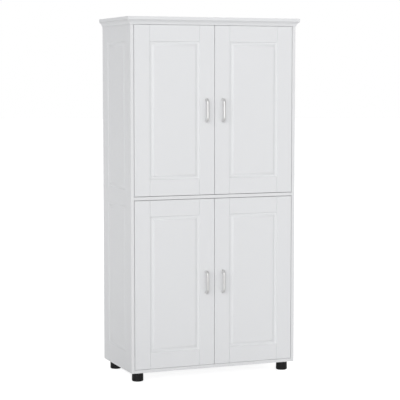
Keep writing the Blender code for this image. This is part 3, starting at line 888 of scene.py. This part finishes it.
def wings_mesh(half_length):
    """The rounded plate that a hinge cup's two screws go through."""
    corner = WING_CORNER_RADIUS
    outline = []
    for u, v, start in QUADRANTS:
        centre = (u * (WING_HALF_WIDTH - corner), v * (half_length - corner))
        outline += quarter(centre, (corner, corner), start, start + 90, 6)
    sections = []
    for y in (0.0, CUP_FLANGE):
        sections.append([Vector((WING_OFFSET + x, y, z)) for x, z in outline])
    return skin("wings", sections)


def cup_mesh():
    """A left-hand hinge cup about its axis, with its flange's underside at the origin."""
    low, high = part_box("hinge_cup_upper_left_top")
    deep = high.y - low.y - CUP_FLANGE
    flange_radius = (high.x - low.x) / 2
    inner = CUP_RADIUS - CUP_WALL
    ease, round_to = CUP_EDGE_EASE, CUP_BOTTOM_EASE
    profile = [(CUP_RADIUS - round_to, -deep), (CUP_RADIUS, -deep + round_to), (CUP_RADIUS, 0.0)]
    profile += [(flange_radius - ease, 0.0), (flange_radius, ease), (flange_radius, CUP_FLANGE - ease)]
    profile += [(flange_radius - ease, CUP_FLANGE), (inner + ease, CUP_FLANGE)]
    cup = turned("hinge_cup", profile, (0, 1, 0), steps=64)
    bottom = -deep + CUP_WALL
    profile = [(inner - round_to, bottom), (inner, bottom + round_to), (inner, CUTTER_REACH)]
    hollow = turned("hollow", profile, (0, 1, 0), steps=64)
    pin_half = math.sqrt(inner**2 - CUP_PIN_OFFSET.x**2) + CUP_WALL / 2
    rod = [(CUP_PIN_RADIUS, -pin_half), (CUP_PIN_RADIUS, pin_half)]
    pin = moved(turned("pin", rod, (0, 0, 1), steps=16), CUP_PIN_OFFSET - Vector((0, deep, 0)))
    wings = wings_mesh((high.z - low.z) / 2)
    return carved("hinge_cup", cup, [("UNION", wings), ("DIFFERENCE", hollow), ("UNION", pin)])


def make_cup(hinge, door, sign, cup, screw):
    """One hinge's cup, let into its door, and the two screws in the cup's wings."""
    name = f"hinge_cup_{hinge}"
    low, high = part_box(name)
    centre = (low + high) / 2
    turn = Matrix.Rotation(math.pi if sign > 0 else 0.0, 4, "Y")
    seat = Matrix.Translation((centre.x, high.y - CUP_FLANGE, centre.z)) @ turn
    add_piece(name, moved(cup, seat), door, (STEEL,), (name,))
    x = centre.x - sign * WING_OFFSET
    places = [(x, high.y, centre.z + end * WING_SCREW_REACH) for end in (-1, 1)]
    mesh = together("cup_screws", [moved(screw, place) for place in places])
    add_piece(f"cup_screws_{hinge}", mesh, door, (STEEL,))


def make_arm_screws(hinge, sign, arm_screw, plate_screw):
    """The screws on one hinge's arm and on its mounting plate."""
    low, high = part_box(f"hinge_arm_{hinge}")
    wall = low.x if sign < 0 else high.x
    middle = (low.z + high.z) / 2
    x = wall - sign * ARM_SCREW_STAND
    heads = [moved(arm_screw, (x, high.y - place, middle)) for place in ARM_SCREW_PLACES]
    x = wall - sign * PLATE_SCREW_STAND
    for z in (middle - PLATE_SCREW_REACH, middle + PLATE_SCREW_REACH):
        heads.append(moved(plate_screw, (x, high.y - PLATE_SCREW_PLACE, z)))
    add_piece(f"arm_screws_{hinge}", together("arm_screws", heads), "cabinet", (STEEL,))


def make_hinges():
    """Two concealed hinges for each door: cup, link, arm and their screws."""
    cup = cup_mesh()
    wing_screw = screw_head("wing_screw", WING_SCREW, (0, 1, 0))
    for level in LEVELS:
        for side, sign in SIDES.items():
            arm_screw = screw_head("arm_screw", ARM_SCREW, (-sign, 0, 0))
            plate_screw = screw_head("plate_screw", PLATE_SCREW, (-sign, 0, 0))
            for end in ENDS:
                hinge = f"{level}_{side}_{end}"
                make_cup(hinge, f"door_{level}_{side}", sign, cup, wing_screw)
                make_arm_screws(hinge, sign, arm_screw, plate_screw)
                for part in ("arm", "link"):
                    ease_cad_node(f"hinge_{part}_{hinge}", STEEL, CAD_NODE_EASE)


def ease_cad_node(name, finish, width):
    """A CAD node keeps its shape, and gets eased edges and a finish."""
    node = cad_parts[name]
    node.data.materials.clear()
    node.data.materials.append(finish)
    bevel = node.modifiers.new("eased_edges", "BEVEL")
    bevel.width = width
    bevel.segments = 2
    bevel.limit_method = "ANGLE"
    bevel.angle_limit = math.radians(35)
    bevel.harden_normals = True
    bevel.use_clamp_overlap = True


# Studio


def make_floor():
    """A white floor. The light it gives back is weaker near the cabinet than its white look."""
    bm = bmesh.new()
    bmesh.ops.create_circle(bm, cap_ends=True, segments=96, radius=FLOOR_RADIUS)
    mesh = finished(bm, "studio_floor")
    finish = Finish("studio_floor", (FLOOR_ALBEDO,) * 3, 0.85, Specular_IOR_Level=0.1)
    cloud = finish.spread(finish.noise(1.5, 3.0), 0.0, 1.0)
    finish.set_colour(finish.blend(cloud, finish.shade(-0.01), finish.shade(0.01)))
    finish.shader.inputs["Emission Color"].default_value = (1.0, 1.0, 1.0, 1.0)
    distance = finish.node("ShaderNodeVectorMath", {"operation": "LENGTH"})
    finish.link(finish.place(), distance.inputs[0])
    given_back = finish.spread(distance.outputs["Value"], 0.0, FLOOR_FAR_LIGHT, *FLOOR_FADE)
    path = finish.node("ShaderNodeLightPath")
    glow = finish.node("ShaderNodeMix", {"data_type": "FLOAT"})
    finish.link(given_back, glow.inputs["A"])
    glow.inputs["B"].default_value = FLOOR_GLOW
    finish.link(path.outputs["Is Camera Ray"], glow.inputs["Factor"])
    finish.link(glow.outputs["Result"], finish.shader.inputs["Emission Strength"])
    mesh.materials.append(finish.material)
    floor = bpy.data.objects.new("studio_floor", mesh)
    bpy.context.scene.collection.objects.link(floor)


def add_sun(name, direction, strength, angle_deg):
    """A broad, even light that shines from the given direction."""
    data = bpy.data.lights.new(name, "SUN")
    data.energy = strength
    data.angle = math.radians(angle_deg)
    lamp = bpy.data.objects.new(name, data)
    lamp.rotation_euler = Vector(direction).to_track_quat("Z", "Y").to_euler()
    bpy.context.scene.collection.objects.link(lamp)


def add_card(name, place, size, radiance):
    """A square reflector card that faces the cabinet's middle and lights it softly."""
    data = bpy.data.lights.new(name, "AREA")
    data.size = size
    data.energy = radiance * math.pi * size**2
    card = bpy.data.objects.new(name, data)
    card.location = place
    middle = Vector((0.0, 0.0, place[2]))
    card.rotation_euler = (Vector(place) - middle).to_track_quat("Z", "Y").to_euler()
    card.visible_camera = False
    bpy.context.scene.collection.objects.link(card)


def make_world():
    """A soft, even white room, which the camera itself sees as a clean white."""
    world = bpy.data.worlds.new("studio")
    world.use_nodes = True
    tree = world.node_tree
    background = tree.nodes["Background"]
    background.inputs["Color"].default_value = (0.985, 0.992, 1.0, 1.0)
    background.inputs["Strength"].default_value = ROOM_LIGHT
    seen = tree.nodes.new("ShaderNodeBackground")
    seen.inputs["Color"].default_value = (1.0, 1.0, 1.0, 1.0)
    seen.inputs["Strength"].default_value = 1.0
    mix = tree.nodes.new("ShaderNodeMixShader")
    path = tree.nodes.new("ShaderNodeLightPath")
    tree.links.new(path.outputs["Is Camera Ray"], mix.inputs["Fac"])
    tree.links.new(background.outputs["Background"], mix.inputs[1])
    tree.links.new(seen.outputs["Background"], mix.inputs[2])
    tree.links.new(mix.outputs["Shader"], tree.nodes["World Output"].inputs["Surface"])
    bpy.context.scene.world = world


def make_camera():
    """A long lens from the front left, a little above the cabinet's middle."""
    data = bpy.data.cameras.new("camera")
    data.sensor_width = 36.0
    data.lens = CAMERA_LENS
    camera = bpy.data.objects.new("camera", data)
    camera.location = CAMERA_PLACE
    yaw, pitch = math.radians(CAMERA_YAW_DEG), math.radians(CAMERA_PITCH_DEG)
    camera.rotation_euler = (math.pi / 2 - pitch, 0.0, -yaw)
    bpy.context.scene.collection.objects.link(camera)
    bpy.context.scene.camera = camera


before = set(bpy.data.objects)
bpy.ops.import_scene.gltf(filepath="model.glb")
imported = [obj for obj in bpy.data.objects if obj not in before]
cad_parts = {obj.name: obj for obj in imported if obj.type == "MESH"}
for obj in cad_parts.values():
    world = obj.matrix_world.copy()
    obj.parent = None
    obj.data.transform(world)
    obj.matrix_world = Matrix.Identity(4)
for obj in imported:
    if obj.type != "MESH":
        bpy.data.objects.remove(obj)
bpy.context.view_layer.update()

PAINT = sprayed_paint()
BANDING = edge_band()
MELAMINE = melamine()
FOIL = white_foil()
HARDBOARD = bare_hardboard()
NICKEL = satin_nickel()
STEEL = hinge_steel()
BLACK = moulded_plastic("black_plastic", (0.004, 0.004, 0.0045), 0.30, 0.30)
COVER = moulded_plastic("white_plastic", (0.740, 0.740, 0.735), 0.42, 0.50)

make_camera()
make_world()
make_floor()
add_sun("key", KEY_DIRECTION, KEY_STRENGTH, KEY_ANGLE)
add_sun("fill", FILL_DIRECTION, FILL_STRENGTH, FILL_ANGLE)
add_card("card", CARD_PLACE, CARD_SIZE, CARD_LIGHT)

for panel_side in SIDES:
    make_side_panel(panel_side)
make_boards()
make_back()
make_coves()
make_feet()
make_shelf_pins()
make_cam_covers()
make_doors()
make_hinges()

bpy.context.scene.view_settings.view_transform = "Standard"
bpy.context.view_layer.update()
